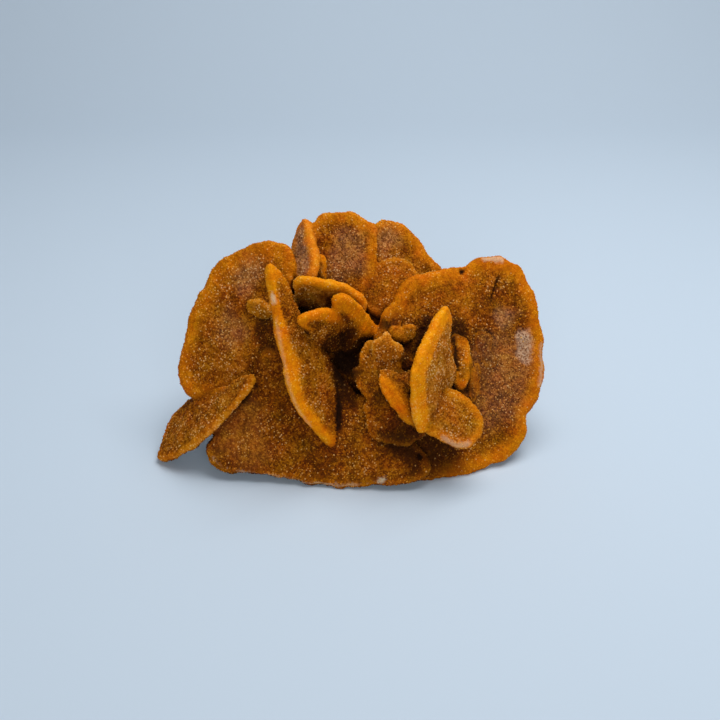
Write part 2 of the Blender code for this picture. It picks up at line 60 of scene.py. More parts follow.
# Millimetres and degrees. A crystal lies in a plane through at that faces (azimuth, elevation).
# reach: distances to its edge, anticlockwise from its right-hand side, or from turn degrees on.
# rim, heart: how thick it is near the edge and in the middle. jag: how ragged the edge is.
# band: how far in from the edge its smooth golden rim goes. fade: over what share of that it
# fades. gild: how golden it is. bare: (own angle, how far to each side) where it isn't golden.
# pale: how light the very edge is elsewhere. tone: lighter or darker sand.
# frost: how grey and worn the faces are.
crystals = {
    "leftFan": dict(
        at=(-29.5, 7, 33.5), facing=(-18, 30), rim=3.2, band=7, gild=0.58, tone=0.03,
        reach=(19, 14.5, 14.5, 14.5, 15, 19.5, 23, 23, 22, 20.5, 19.5, 19, 18, 16, 16, 16, 17,
               17.5, 18.5, 21, 24, 25, 23.5, 22, 21, 20, 19, 18, 18, 18, 18.5, 19)),
    "topFan": dict(
        at=(-6, 16.5, 47.5), facing=(-4, 32), rim=2.8, band=4.2, gild=0.6, tone=0.02,
        reach=(10.5, 10.5, 11.5, 12.5, 14, 13, 13.5, 13.5, 13, 13, 13.5, 12, 10.5, 9.5, 9, 9, 9,
               9.5, 10.5, 11.5, 13, 14, 15, 15, 15, 14.5, 14, 13, 12, 11.5, 11, 10.5)),
    "topRightFan": dict(
        at=(8.5, 18, 44), facing=(10, 32), rim=2.6, band=4.2, gild=0.6, tone=0.05,
        reach=(13.5, 11.5, 10.5, 10.5, 11, 11.5, 12.5, 13, 14, 13.5, 12.5, 12, 12, 12, 12, 12.5,
               13, 13.5, 14, 14.5, 15, 15.5, 16, 16, 15.5, 15, 14.5, 14, 14, 14, 14.5, 14)),
    "scallop": dict(
        at=(8.5, 13, 41.5), facing=(8, 34), rim=2.4, jag=0.35, band=2.2, gild=0.4, tone=0.06,
        reach=(8.5, 8, 8.5, 8, 7, 6.5, 8, 9, 9, 9, 9, 9)),
    "rightSlab": dict(
        at=(27.5, 2.5, 23), facing=(18, 32), rim=3, band=6, gild=0.72, tone=-0.05, bare=(218, 26),
        reach=(22.5, 23, 24, 24.5, 25, 26.5, 28, 29, 30, 31.5, 31.5, 31.5, 30.5, 29.5, 27.5, 27,
               27, 27, 27, 27.5, 28, 28, 27, 26, 26.5, 26.5, 26, 26, 26, 25.5, 25.5, 25.5, 25.5,
               25.5, 26, 26, 26.5, 27.5, 28.5, 30, 31.5, 33, 32, 30.5, 29.5, 28.5, 28, 27.5, 27,
               26.5, 26.5, 26.5, 26, 25.5, 25, 23, 21.5, 22, 22, 22.5, 22, 22.5, 22.5, 22.5)),
    "frontSlab": dict(
        at=(-11, -9.5, 14.5), facing=(-5, 32), rim=3, heart=6, band=3, gild=0.25, pale=0.12,
        tone=-0.1, bare=(98, 78),
        reach=(21.5, 19.5, 18, 17, 16, 15.5, 13.5, 12.5, 12.5, 12.5, 12.5, 12.5, 12.5, 12.5,
               12.5, 13.5, 16, 17, 18, 19, 20.5, 22, 23, 23.5, 23, 22, 21.5, 21, 21, 21.5, 22.5,
               23.5, 25, 26.5, 28, 30, 30, 29, 26.5, 22.5, 20.5, 19.5, 18.5, 17.5, 17, 16.5,
               16.5, 16.5, 16.5, 16.5, 17, 17.5, 18.5, 19, 20, 21.5, 22.5, 24.5, 27.5, 30, 32,
               30.5, 27, 23.5)),
    "tallFin": dict(
        at=(-14.5, -9, 32), facing=(48, 23), rim=2.8, heart=4.4, turn=272, band=6.5, gild=1.1,
        tone=0.04, bare=(2, 82),
        reach=(24.5, 22, 19.5, 17, 15, 13, 10.5, 9, 8, 7, 7, 6.5, 7, 7.5, 8.5, 10, 12.5, 19.5,
               26, 16.5, 12.5, 10, 8.5, 7.5, 7, 6.5, 6.5, 7, 7, 7.5, 8.5, 9.5, 11, 13, 15.5, 19)),
    "leftLens": dict(
        at=(-38.5, -8, 15), facing=(-69, 43), rim=2.6, heart=4.5, turn=252, band=2.6, gild=0.42,
        tone=0.05,
        reach=(20.5, 15.5, 10.5, 7.5, 6.5, 6, 5.5, 5.5, 5.5, 6.5, 8.5, 11.5, 17, 14, 9.5, 8.5, 8,
               8, 8.5, 9.5, 14, 16.5, 18, 20)),
    "rightSpindle": dict(
        at=(18, -12, 30), facing=(58, 4), rim=2.5, heart=5.4, turn=61, jag=0.4, band=5, fade=0.4,
        gild=1.15, tone=0.2, bare=(-12, 62),
        reach=(17.5, 16, 14, 12.5, 11.5, 11, 10.5, 10.5, 10.5, 10.5, 11, 10.5, 10.5, 10, 10,
               10.5, 10.5, 11.5, 12.5, 13.5, 15.5, 15, 13.5, 12.5, 12, 12, 12.5, 13, 13, 13, 13,
               12, 11.5, 10.5, 10, 10, 10.5, 11, 13, 15.5)),
    "frontDisc": dict(
        at=(22, -14, 19), facing=(15, 40), rim=2.6, heart=4, jag=0.3, band=3.4, gild=0.6,
        tone=0.08,
        reach=(8.5, 7.5, 7, 7, 7, 7, 7, 7, 7, 7, 7, 7, 8, 10, 10.5, 10)),
    "innerLeaf": dict(
        at=(11, -11.5, 23.5), facing=(48, 38), rim=1.8, heart=3.8, jag=0.9, band=6.5, gild=0.9,
        bare=(10, 106),
        reach=(8.1, 8.5, 8.3, 7.9, 7.2, 6.6, 6.3, 6.6, 7.1, 8.3, 9.1, 8.1, 7.6, 6.6, 5.9, 5.6,
               5.4, 5.3, 5.3, 5.6, 6, 6.6, 7.5, 8.9, 10.6, 10.6, 9.5, 8.9, 8.4, 8, 7.9, 8)),
    "middlePetal": dict(
        at=(5, -6.5, 27.5), facing=(0, 25), rim=1.6, heart=3.4, jag=0.8, band=2.4, gild=0.42,
        pale=0.3, tone=0.02,
        reach=(6.2, 6.4, 6.7, 7.2, 7.9, 7.9, 7.7, 7.8, 7.8, 7.9, 7.8, 7.2, 6.9, 6.2, 5.8, 6, 7.1,
               7.1, 6.9, 7, 7.3, 7.6, 8.2, 8.8, 8.4, 8.1, 7.4, 7, 6.6, 6.3, 6.3, 6.2)),
    "middleEar": dict(
        at=(7, -5, 33.5), facing=(0, 25), rim=1.5, heart=2.8, jag=0.6, band=2, gild=0.42,
        pale=0.3, tone=0.14,
        reach=(3.9, 3.3, 2.8, 2.4, 2.6, 3.4, 3.9, 3.7, 3.3, 3.5, 3.8, 4.2, 4, 4, 4.1, 3.8, 3.7,
               3.6, 3.4, 3.1, 3.3, 4.3, 4.4, 4.2)),
    "lowerPetal": dict(
        at=(8.5, -12.5, 17.5), facing=(-5, 32), rim=1.4, heart=2.6, jag=0.8, band=1.6, gild=0.4,
        pale=0.34, tone=-0.04,
        reach=(8.9, 8.6, 8.7, 8.3, 8, 8, 7.7, 7.5, 7.6, 7.5, 7.7, 7.9, 8, 8.1, 8.2, 7.7, 7, 6.9,
               7, 7.3, 7.2, 6.9, 6.8, 6.8, 6.8, 7.2, 7.6, 8.3, 8.7, 9.4, 9.2, 9.2)),
    "upperShelf": dict(
        at=(-7, 7.5, 37), facing=(-10, -18), rim=2.8, heart=4.2, band=3.3, gild=0.95, tone=0.2,
        bare=(243, 100),
        reach=(8, 9, 10, 10.5, 11, 11, 11, 11, 11.5, 12, 13, 14.5, 14, 12, 10.5, 9.5, 8.5, 8.5,
               8.5, 8.5, 9, 9.5, 10.5, 11.5, 12.5, 10.5, 9.5, 9, 8, 8, 7.5, 8)),
    "rightShelf": dict(
        at=(-1, 1.5, 35.5), facing=(28, -14), rim=2.8, heart=4.2, band=4, gild=1.2, tone=-0.06,
        bare=(228, 84),
        reach=(5.5, 5, 4.5, 4.5, 5, 5, 5.5, 6.5, 8, 10.5, 14, 14, 10, 8, 6.5, 6, 5.5, 5, 5, 5.5,
               5.5, 6.5, 8, 9.5, 12, 12.5, 11.5, 10.5, 9.5, 10, 7.5, 6.5)),
    "lowerShelf": dict(
        at=(-9, -5, 40), facing=(38, -16), rim=2.4, heart=3.6, band=4.4, gild=1.2, tone=-0.04,
        bare=(258, 90),
        reach=(7.5, 6.5, 6, 5, 5, 5, 5.5, 6, 7, 9, 10.5, 7.5, 6, 5, 5, 5, 5, 6, 7.5, 10.5, 13,
               11, 9, 8)),
    "rightScale": dict(
        at=(26, 0.5, 26.5), facing=(24, 30), rim=2.2, heart=3, jag=0.4, band=4.4, gild=0.8,
        tone=0.1,
        reach=(2.9, 3.1, 3.6, 4.8, 6.3, 6.8, 7.3, 6.4, 5.5, 4.4, 3.9, 3.7, 3.5, 3.6, 3.9, 4.6, 6,
               7.8, 6.9, 5.8, 4.5, 3.7, 3.2, 2.9)),
    "outerScale": dict(
        at=(30, -0.5, 20.5), facing=(20, 31), rim=1.8, heart=2.2, jag=0.4, band=1.6, gild=0.7,
        tone=0.08,
        reach=(1.6, 1.9, 2.4, 3.8, 5.6, 4.1, 3.1, 2.2, 1.9, 1.8, 1.9, 2.2, 2.8, 4.1, 5.5, 3.4,
               2.4, 1.8, 1.5, 1.5)),
    "slabScale": dict(
        at=(32.5, 5, 28), facing=(18, 32), rim=1.8, heart=2.2, jag=0.5, band=1.6, gild=0.3,
        reach=(2.3, 2.6, 3.2, 3.9, 4.5, 4.8, 4.6, 3.9, 3.1, 2.8, 2.7, 2.6, 2.8, 3.4, 4.1, 5.4,
               6.1, 4.9, 2.6, 2.3)),
    "smallEar": dict(
        at=(11, 1.5, 34), facing=(10, 30), rim=2, heart=2.6, jag=0.5, band=1.6, gild=0.6,
        tone=0.12,
        reach=(3.6, 3.9, 3.7, 2.7, 2.2, 2, 2, 2.8, 3.5, 3.7, 3.6, 3.5, 2.9, 2.6, 2.4, 2.4, 2.5,
               2.8, 3.3, 3.4)),
    "lobeEar": dict(
        at=(8, 5, 36.5), facing=(0, 45), rim=2.2, heart=3, jag=0.4, band=1.8, gild=0.6,
        reach=(3, 3, 3, 2.7, 2.3, 2.2, 2.6, 3, 3.5, 4, 4, 3.5)),
    "fanEar": dict(
        at=(-25.5, 6, 39), facing=(-14, 24), rim=1.8, heart=2.4, jag=0.6, band=2.2, gild=0.4,
        tone=0.12,
        reach=(3, 2.2, 1.9, 1.8, 1.9, 2.2, 2.5, 3, 3.6, 4.2, 4, 3.7, 2.7, 2.5, 2.4, 2.5, 2.8, 3,
               3.4, 3.5)),
    "spike": dict(
        at=(-10.5, 13.5, 46), facing=(10, 20), rim=2.2, heart=2.8, jag=0.2, band=2.4, gild=1.3,
        tone=0.2,
        reach=(1.9, 2, 2.6, 3.9, 4.4, 3.1, 2.2, 1.7, 1.6, 1.8, 2.2, 3.3, 4, 4.3, 2.6, 2.1)),
    "topEar": dict(
        at=(-14.5, 17.5, 51), facing=(-60, 30), rim=2.8, heart=3.8, turn=129, band=3.6, gild=0.9,
        tone=0.08, frost=0.25,
        reach=(8.5, 7.5, 5.5, 5, 5, 5, 5, 5, 7.5, 10.5, 11, 8.5, 6, 4.5, 4, 4, 4.5, 6)),
    "backLeftFan": dict(
        at=(-20, 19, 18), facing=(-158, 28), jag=0.2, band=5, gild=0.7, tone=0.03,
        reach=(17, 18, 19, 18, 17, 16, 17, 18, 17, 16, 17, 19, 20, 19, 18, 17)),
    "backFan": dict(
        at=(3, 24, 18), facing=(176, 24), jag=0.3, band=4.2, gild=0.5, tone=-0.06,
        reach=(18, 17, 16, 17, 18, 17, 16, 16, 17, 18, 19, 20, 20, 20, 19, 18)),
    "backRightFan": dict(
        at=(25, 16, 17), facing=(150, 30), jag=0.3, band=5, gild=0.8, tone=0.03,
        reach=(16, 16, 17, 16, 15, 15, 16, 17, 17, 16, 17, 19, 20, 19, 17, 16)),
    "backFin": dict(
        at=(-8, 24, 25), facing=(100, 12), jag=0.2, band=3.4, gild=0.6, tone=-0.03,
        reach=(11, 12, 13, 14, 12, 10, 9, 9, 10, 12, 14, 15, 14, 12, 11, 10)),
    "backRightFin": dict(
        at=(16, 22, 22), facing=(70, 20), jag=0.3, band=5.8, gild=0.7, tone=0.03,
        reach=(10, 11, 12, 11, 10, 9, 8, 9, 11, 13, 13, 12, 11, 10)),
    "backShelf": dict(
        at=(4, 24, 32), facing=(170, 62), jag=0.3, band=4.2, gild=0.5, tone=0.03,
        reach=(10, 9, 8, 9, 10, 11, 12, 11, 10, 11, 12, 11, 10, 10)),
    "leftKeel": dict(
        at=(-30, 8, 14), facing=(-75, 10), jag=0.2, band=4.2, gild=0.6, tone=-0.06,
        reach=(12, 11, 10, 9, 9, 10, 12, 14, 14, 14, 14, 14, 13, 12)),
    "rightKeel": dict(
        at=(33, 17, 22), facing=(82, 8), jag=0.3, band=4.2, gild=0.6, tone=-0.03,
        reach=(9, 10, 11, 10, 9, 9, 10, 11, 12, 12, 11, 10)),
    "backPetal": dict(
        at=(-14, 23, 35), facing=(-168, 8), rim=2.6, heart=4, jag=0.3, band=5, gild=0.7,
        tone=-0.03,
        reach=(8, 7.5, 8, 9, 8.5, 7.5, 8, 9, 10, 10, 9, 8)),
    "backDisc": dict(
        at=(12, 29, 13), facing=(168, 44), rim=2.6, heart=4, jag=0.5, band=4.2, gild=0.6,
        reach=(8, 8.5, 8, 7, 7, 8, 8.5, 8, 8, 8, 8, 8)),
    "backScale": dict(
        at=(-25, 22, 20), facing=(-118, 8), rim=2.4, heart=4, jag=0.5, band=3.4, gild=0.7,
        tone=-0.03,
        reach=(6.5, 7, 7.5, 7, 6, 6.5, 7, 6.5, 6, 6, 6, 6)),
}
# what a crystal has where its own entry doesn't say
usual = dict(rim=3.0, heart=5.0, turn=0.0, jag=0.15, band=4.5, fade=0.7, gild=0.8, pale=0.2,
             tone=0.0, frost=0.0, bare=None)
# the lump in the middle, from which the crystals spread
lump = dict(at=(2.0, 8.0, 12.0), radii=(20.0, 12.0, 18.0), spokes=96, rows=48)
middle = np.array((-2.0881, 7.1553, 0.0))  # mm, where these measures have the part's origin

# Marks on the stone: the points that each runs along in mm, its radius and its strength.
marks = {
    "pit": (
        # notch at the top of the right slab, the groove below it, a hole in the front slab: each pressed
        # in, with painted shade laid in it
        (((27.0, 15.2, 45.4),), 0.9, 1.0),
        (((36.9, 16.6, 42.6), (35.8, 14.8, 40.5), (34.4, 12.7, 38.0)), 0.6, 0.7),
        (((15.6, -17.3, 8.7),), 1.3, 1.0),
    ),
    "chip": (
        # front slab's broken spot and worn lower edge
        (((5.3, -19.7, 2.9), (5.9, -19.7, 3.3)), 0.75, 0.5),
        (((-38.0, -13.9, 6.0), (-35.6, -15.2, 3.9), (-29.4, -16.3, 3.0), (-23.2, -17.2, 2.2),
          (-15.4, -18.2, 1.3), (-7.7, -19.3, 1.1), (-1.3, -19.7, 1.4), (3.1, -19.5, 2.3),
          (9.0, -19.7, 2.6)), 0.38, 0.24),
        # front disc's lower edge, then the tall fin's tip and long edge
        (((21.0, -18.6, 15.2), (24.6, -19.9, 13.2), (27.6, -19.2, 13.8)), 0.8, 0.25),
        (((-21.5, -6.7, 49.2), (-21.1, -7.3, 47.9)), 0.7, 0.5),
        (((-20.7, -9.3, 43.7), (-19.7, -11.4, 39.3), (-18.8, -13.2, 34.1), (-17.9, -15.0, 29.9),
          (-16.0, -16.6, 23.6), (-12.6, -16.4, 17.6)), 0.45, 0.14),
        # right slab's top and right edges
        (((33.0, 18.6, 47.3), (35.0, 19.1, 47.2), (37.6, 19.4, 46.6)), 0.8, 0.35),
        (((48.4, 9.5, 26.1), (48.7, 6.6, 21.6), (48.1, 3.6, 17.2)), 0.6, 0.25),
    ),
    "gold": (
        # front slab's upper end, the right shelf, the right slab's left part, the outer scale
        (((-24.3, -0.6, 29.7),), 1.8, 0.6),
        (((-4.6, -4.7, 46.2), (-2.0, -3.2, 44.0), (0.7, -0.8, 39.8), (2.8, 1.9, 35.2)), 2.4, 1.0),
        (((10.4, 8.9, 42.9), (18.3, 10.9, 43.3), (26.3, 11.9, 41.3), (29.0, 13.0, 42.0)),
         6.0, 0.2),
        (((30.0, -0.2, 23.6), (30.5, -1.4, 21.0), (30.9, -2.1, 19.2)), 1.0, 0.5),
        # front slab's left end, the small ear
        (((-33.6, -10.9, 12.4), (-28.3, -14.3, 8.5), (-31.0, -8.2, 16.8)), 6.0, 0.14),
        (((8.6, 0.6, 34.0), (10.6, 0.2, 34.0)), 1.9, 0.35),
    ),
    "frost": (
        # left fan, front slab's left end, left fan, top fan, top right fan
        (((-29.2, 12.3, 45.5),), 4.5, 0.12),
        (((-33.6, -10.9, 12.4), (-28.3, -14.3, 8.5), (-31.0, -8.2, 16.8)), 6.0, 0.03),
        (((-33.5, 5.9, 32.7),), 5.0, 0.08),
        (((-2.6, 17.0, 51.4), (-3.9, 15.0, 48.0)), 5.0, 0.1),
        (((6.9, 21.3, 52.0),), 4.0, 0.12),
        # right slab: the white patch, then two fainter ones
        (((43.7, 9.4, 28.3), (43.9, 7.4, 25.2), (44.1, 6.6, 23.8)), 2.3, 0.6),
        (((37.9, 11.0, 33.5),), 3.5, 0.15),
        (((38.0, 4.5, 24.0), (38.0, -1.0, 17.0)), 9.0, 0.07),
    ),
    "paintedShade": (
        # painted shade: on the left fan behind the tall fin, under the right and lower shelves, round the
        # small ear
        (((-24.9, 3.4, 34.0), (-23.8, 1.3, 31.4)), 3.6, 0.42),
        (((-3.2, -1.0, 34.2), (-3.9, -0.2, 31.6), (-7.5, -4.5, 34.0)), 3.0, 0.6),
        (((11.6, 0.4, 30.6),), 1.8, 0.6),
        (((6.0, 2.4, 36.4),), 1.8, 0.6),
        # painted shade in the middle hollow, and a painted shadow line down from it by the tall fin
        (((-3.9, 1.5, 26.1), (-3.9, -4.0, 27.0)), 4.5, 1.0),
        (((-3.8, -6.8, 25.0), (-2.5, -9.0, 21.8)), 3.0, 0.6),
        (((-5.6, -6.4, 25.4), (-5.2, -8.3, 22.4), (-5.2, -10.8, 18.5), (-5.4, -13.0, 14.6)),
         0.9, 0.7),
        # painted shade: right slab behind the spindle, foot between the two slabs, over the right scale
        (((18.0, 3.0, 34.5), (16.2, 1.0, 29.5)), 3.5, 0.75),
        (((11.5, -14.8, 12.0), (20.8, -12.8, 5.9)), 6.0, 0.6),
        (((24.9, 6.1, 32.6),), 4.0, 0.6),
        # painted shade round the right scale
        (((24.2, 2.3, 32.3), (24.5, 0.9, 30.3), (24.9, -0.8, 27.6), (25.0, -2.0, 25.4)),
         0.8, 0.9),
        (((28.6, 0.2, 25.6), (28.4, -1.6, 22.0), (28.3, -2.9, 19.2)), 0.7, 0.5),
        (((27.8, 5.3, 31.5), (28.6, 3.0, 27.9)), 1.0, 0.4),
        (((30.5, 6.5, 32.0), (33.7, 7.5, 31.8), (35.1, 7.0, 30.3)), 0.5, 0.45),
    ),
}
markEdge = dict(
    inner=0.5, outer=1.3,      # shares of its radius between which a mark fades out
    wobble=0.5, seed=3.3,      # how uneven its outline is
    search=2.6,                # share of its radius past which a point has no part in it
)

stoneBody = dict(
    spokes=160, rows=36,       # points round a crystal and rows from face to face
    edgeRound=0.55,            # how deep the edge is rounded, as a share of its thickness
    edgeRows=0.36,             # share of the rows that the rounded edge takes
    ragged=((3.4, 0.9, 11.3), (1.5, 0.5, 4.7), (0.9, 0.4, 8.1)),  # (length mm, share, seed)
    voxel=0.46,                # mm, the remesh that joins the crystals
    soften=1, softenShare=0.5,  # rounds of smoothing after it, and how strong each is
    waves=((9.0, 0.3), (3.6, 0.26), (1.5, 0.17)),  # (length, height) of the swells, mm
    waveSeed=7.1,
    calmRims=0.45, calmCreases=0.5,  # how much lower the swells are there
    dish=0.2,                  # mm that the faces of large crystals lie below the rims
    dishReach=(6.0, 12.0),     # mm, the reach from which a crystal counts as large
    pitDepth=0.7,              # mm
    floorSnap=0.3,             # mm, everything lower rests flat on the floor
    triangles=192000,          # kept in the finished mesh
)

stoneColourAndShade = dict(
    bareFade=9,                # degrees over which a golden rim ends
    goldenFrom=0.5,            # how golden a rim is before its pale edge is golden too
    goldenPaleEdge=(0.2, 0.9), goldenPaleTone=0.16,  # mm from the edge, and how light it gets
    plainPaleEdge=(0.1, 0.7),      # mm from the edge
    rays=18, rayLength=22.0,   # how enclosed each place is, for painted shade in enclosed places
    rayStart=0.4, lowestRay=-0.2,  # mm off the surface, and the steepest way down
    enclosed=(0.02, 0.46),     # share of free sky at which the painted shade is deepest and at which it ends
    # how much less of that painted shade a golden rim takes
    goldenStaysLight=0.5,
    creaseShade=0.4, creaseWidth=0.9,  # painted shade where crystals meet, and its width in mm
    # the most painted shade that any place takes
    deepestShade=0.97,
)


def smoothStep(low, high, value):
    share = np.clip((value - low) / (high - low), 0.0, 1.0)
    return share * share * (3.0 - 2.0 * share)


def crystalAxes(facing):
    azimuth, elevation = (math.radians(a) for a in facing)
    right = np.array((math.cos(azimuth), math.sin(azimuth), 0.0))
    out = np.array((math.sin(azimuth) * math.cos(elevation),
                    -math.cos(azimuth) * math.cos(elevation),
                    math.sin(elevation)))
    return right, np.cross(out, right), out


def reachAt(crystal, angle):  # angle as an array of radians from the crystal's right-hand side
    reach = np.array(crystal["reach"], dtype=float)
    place = ((angle - math.radians(crystal["turn"])) % math.tau) / math.tau * len(reach)
    step = np.floor(place).astype(int)
    part = place - step
    before, start, end, after = (reach[(step + k) % len(reach)] for k in (-1, 0, 1, 2))
    leanIn, leanOut = (end - before) / 2, (after - start) / 2
    bend = 3 * (end - start) - 2 * leanIn - leanOut
    settle = leanIn + leanOut - 2 * (end - start)
    return start + part * (leanIn + part * (bend + part * settle))


def halfThickness(crystal, inward, reach):  # inward is the distance from the edge
    deep = crystal["rim"] * stoneBody["edgeRound"]
    curve = np.clip(1.0 - inward / deep, 0.0, 1.0)
    edge = crystal["rim"] / 2 * np.sqrt(1.0 - curve * curve)
    share = np.clip((inward - deep) / np.maximum(reach - deep, 0.1), 0.0, 1.0)
    return edge + (crystal["heart"] - crystal["rim"]) / 2 * np.sin(share * math.pi / 2)


def fieldNoise(points, length, seed):
    return np.array([noise.noise(Vector(p / length + seed)) for p in points])


def meshObject(name, mesh, material=None):
    data = bpy.data.meshes.new(name)
    mesh.to_mesh(data)
    mesh.free()
    piece = bpy.data.objects.new(name, data)
    bpy.context.scene.collection.objects.link(piece)
    if material:
        data.materials.append(material)
    return piece


def applyModifier(piece, kind, **settings):  # returns the new mesh of the piece
    modifier = piece.modifiers.new(kind.lower(), kind)
    for key, value in settings.items():
        setattr(modifier, key, value)
    data = bpy.data.meshes.new_from_object(
        piece.evaluated_get(bpy.context.evaluated_depsgraph_get()))
    piece.modifiers.clear()
    before, piece.data = piece.data, data
    bpy.data.meshes.remove(before)
    return data


def meshVectors(data, kind):
    values = np.empty(len(data.vertices) * 3)
    data.vertices.foreach_get(kind, values)
    return values.reshape(-1, 3)


def meshTriangles(data):
    data.calc_loop_triangles()
    corners = np.empty(len(data.loop_triangles) * 3, dtype=np.int64)
    data.loop_triangles.foreach_get("vertices", corners)
    return corners.reshape(-1, 3)


def setAttribute(data, name, values):
    layer = data.attributes.new(name, "FLOAT", "POINT")
    layer.data.foreach_set("value", np.ascontiguousarray(values, dtype=np.float32))


# one fine lens for each crystal
def makeLens(crystal):
    at, (right, up, out) = np.array(crystal["at"], float), crystalAxes(crystal["facing"])
    mesh = bmesh.new()
    bmesh.ops.create_uvsphere(mesh, u_segments=stoneBody["spokes"],
                              v_segments=stoneBody["rows"], radius=1.0)
    ball = np.array([v.co for v in mesh.verts])
    angle = np.arctan2(ball[:, 1], ball[:, 0])
    height = np.abs(np.arcsin(np.clip(ball[:, 2], -1, 1))) / (math.pi / 2)
    heading = np.cos(angle)[:, None] * right + np.sin(angle)[:, None] * up
    reach = reachAt(crystal, angle)
    edge = at + heading * reach[:, None]
    ragged = sum(fieldNoise(edge, length, seed) * share
                 for length, share, seed in stoneBody["ragged"])
    reach = reach + crystal["jag"] * ragged
    deep = crystal["rim"] * stoneBody["edgeRound"]
    rounding = np.clip(height / stoneBody["edgeRows"], 0.0, 1.0)
    beyond = np.clip((height - stoneBody["edgeRows"]) / (1 - stoneBody["edgeRows"]), 0.0, 1.0)
    inward = deep * (1 - np.cos(rounding * math.pi / 2)) + (reach - deep) * beyond
    half = halfThickness(crystal, inward, reach) * np.sign(ball[:, 2])
    half[height < 1e-6] = 0.0  # the widest row lies in the crystal's own plane
    places = at + heading * (reach - inward)[:, None] + half[:, None] * out
    for vert, place in zip(mesh.verts, places):
        vert.co = place
    return mesh


def makeLump():
    mesh = bmesh.new()
    bmesh.ops.create_uvsphere(mesh, u_segments=lump["spokes"], v_segments=lump["rows"], radius=1.0)
    bmesh.ops.scale(mesh, vec=lump["radii"], verts=mesh.verts)
    bmesh.ops.translate(mesh, vec=lump["at"], verts=mesh.verts)
    return mesh


def cutAtFloor(mesh):  # everything below the floor goes, and the cut is closed flat
    cut = bmesh.ops.bisect_plane(mesh, geom=mesh.verts[:] + mesh.edges[:] + mesh.faces[:],
                                 dist=1e-5, plane_co=(0, 0, 0), plane_no=(0, 0, -1),
                                 clear_outer=True)
    rims = [g for g in cut["geom_cut"] if isinstance(g, bmesh.types.BMEdge) and g.is_boundary]
    if rims:
        bmesh.ops.edgeloop_fill(mesh, edges=rims)


def smoothRounds(data, rounds, strength):
    mesh = bmesh.new()
    mesh.from_mesh(data)
    for _ in range(rounds):
        bmesh.ops.smooth_vert(mesh, verts=mesh.verts, factor=strength,
                              use_axis_x=True, use_axis_y=True, use_axis_z=True)
    mesh.to_mesh(data)
    mesh.free()


for settings in crystals.values():
    for key, value in usual.items():
        settings.setdefault(key, value)

whole = bmesh.new()
for mesh in [makeLens(crystal) for crystal in crystals.values()] + [makeLump()]:
    cutAtFloor(mesh)
    data = bpy.data.meshes.new("part")
    mesh.to_mesh(data)
    mesh.free()
    whole.from_mesh(data)
    bpy.data.meshes.remove(data)
rose = meshObject("fine_sand_rose", whole)
print("lenses made")

joined = applyModifier(rose, "REMESH", mode="VOXEL", voxel_size=stoneBody["voxel"], adaptivity=0.0)
smoothRounds(joined, stoneBody["soften"], stoneBody["softenShare"])
print("joined", len(joined.polygons), "faces")


# what each place on the stone is like
def nearestCrystals(points):
    first = np.full(len(points), 1e9)  # mm to the crystal that the point is on
    second = np.full(len(points), 1e9)  # mm to the next one
    owner = np.zeros(len(points), int)
    golden = np.zeros(len(points))
    paleEdge = np.zeros(len(points))
    for index, crystal in enumerate(crystals.values()):
        right, up, out = crystalAxes(crystal["facing"])
        local = points - np.array(crystal["at"], float)
        x, y, z = local @ right, local @ up, np.abs(local @ out)
        angle = np.arctan2(y, x)
        reach = reachAt(crystal, angle)
        fromEdge = reach - np.hypot(x, y)
        half = halfThickness(crystal, np.maximum(fromEdge, 0.0), reach)
        gap = np.maximum(np.where(fromEdge > 0, z - half, np.hypot(fromEdge, z)), 0.0)
        full = crystal["band"] * (1 - crystal["fade"])
        rim = crystal["gild"] * (1 - smoothStep(full, crystal["band"], fromEdge))
        if crystal["bare"]:
            turned, side = crystal["bare"]
            fade = stoneColourAndShade["bareFade"]
            aside = np.abs((np.degrees(angle) - turned + 180) % 360 - 180)
            rim = rim * smoothStep(side - fade, side + fade, aside)
        goldenPaleEdge = 1 - smoothStep(*stoneColourAndShade["goldenPaleEdge"], fromEdge)
        plainPaleEdge = 1 - smoothStep(*stoneColourAndShade["plainPaleEdge"], fromEdge)
        pale = np.where(rim > stoneColourAndShade["goldenFrom"],
                        rim * stoneColourAndShade["goldenPaleTone"] * goldenPaleEdge,
                        crystal["pale"] * plainPaleEdge)
        closer = gap < first
        second = np.where(closer, first, np.minimum(second, gap))
        owner = np.where(closer, index, owner)
        golden = np.where(closer, rim, golden)
        paleEdge = np.where(closer, pale, paleEdge)
        first = np.minimum(first, gap)
    return owner, golden, paleEdge, second


def nearMark(points, kind):
    strength = np.zeros(len(points))
    for path, radius, amount in marks[kind]:
        path = np.array(path, float)
        distance = np.linalg.norm(points - path[0], axis=1)
        for start, end in zip(path, path[1:]):
            line = end - start
            along = np.clip((points - start) @ line / (line @ line), 0, 1)
            distance = np.minimum(distance, np.linalg.norm(
                points - start - along[:, None] * line, axis=1))
        near = np.flatnonzero(distance < radius * markEdge["search"])
        wobble = 1 + markEdge["wobble"] * fieldNoise(points[near], radius, markEdge["seed"])
        mark = amount * (1 - smoothStep(markEdge["inner"], markEdge["outer"],
                                        distance[near] / radius * wobble))
        strength[near] = np.maximum(strength[near], mark)
    return strength


def evenDirections(count):  # over the half of a ball that faces up
    turn = np.arange(count) * math.pi * (3 - math.sqrt(5))
    height = np.sqrt((np.arange(count) + 0.5) / count)
    flat = np.sqrt(1 - height * height)
    return np.stack((flat * np.cos(turn), flat * np.sin(turn), height), axis=1)


